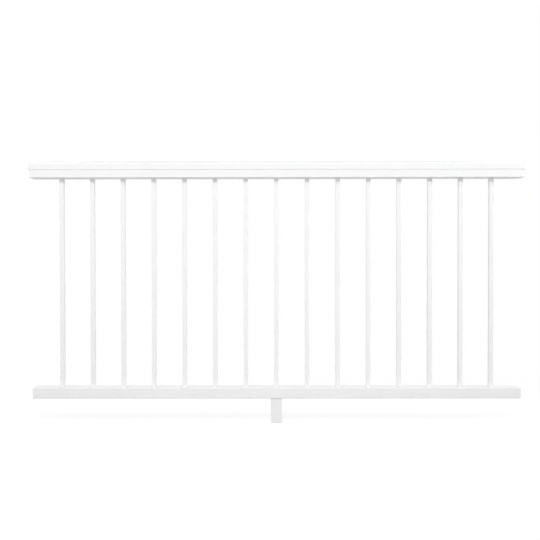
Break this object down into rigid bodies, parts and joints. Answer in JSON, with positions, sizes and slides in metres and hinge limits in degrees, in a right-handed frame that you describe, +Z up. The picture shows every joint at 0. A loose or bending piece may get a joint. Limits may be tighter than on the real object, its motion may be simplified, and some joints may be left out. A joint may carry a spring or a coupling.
{
  "type": "railing panel",
  "caption": "Level white aluminium railing panel: capped top rail, punched bottom rail, a row of square balusters and a short support foot under the middle.",
  "frame": {"origin": "middle of the support foot's flat underside, on the deck, under the middle of the panel", "axes": "+X along the rails, +Y through the panel away from the viewer, +Z up"},
  "size_m": [1.8288, 0.0604, 0.9694],
  "materials": {
    "white_powder_coat": "satin white powder coat",
    "mill_aluminium": "plain mill finish",
    "white_nylon": "fine moulded grain"
  },
  "bodies": {
    "root": {"top_rail_cap": "white_powder_coat", "top_rail_channel": "white_powder_coat", "bottom_rail": "white_powder_coat", "support_foot": "white_powder_coat", "baluster_01": "white_powder_coat", "baluster_02": "white_powder_coat", "baluster_03": "white_powder_coat", "baluster_04": "white_powder_coat", "baluster_05": "white_powder_coat", "baluster_06": "white_powder_coat", "baluster_07": "white_powder_coat", "baluster_08": "white_powder_coat", "baluster_09": "white_powder_coat", "baluster_10": "white_powder_coat", "baluster_11": "white_powder_coat", "baluster_12": "white_powder_coat", "baluster_13": "white_powder_coat", "baluster_14": "white_powder_coat", "baluster_15": "white_powder_coat", "foot_clip_left": "mill_aluminium", "foot_clip_right": "mill_aluminium", "foot_end_plug": "white_nylon"}
  },
  "joints": []
}
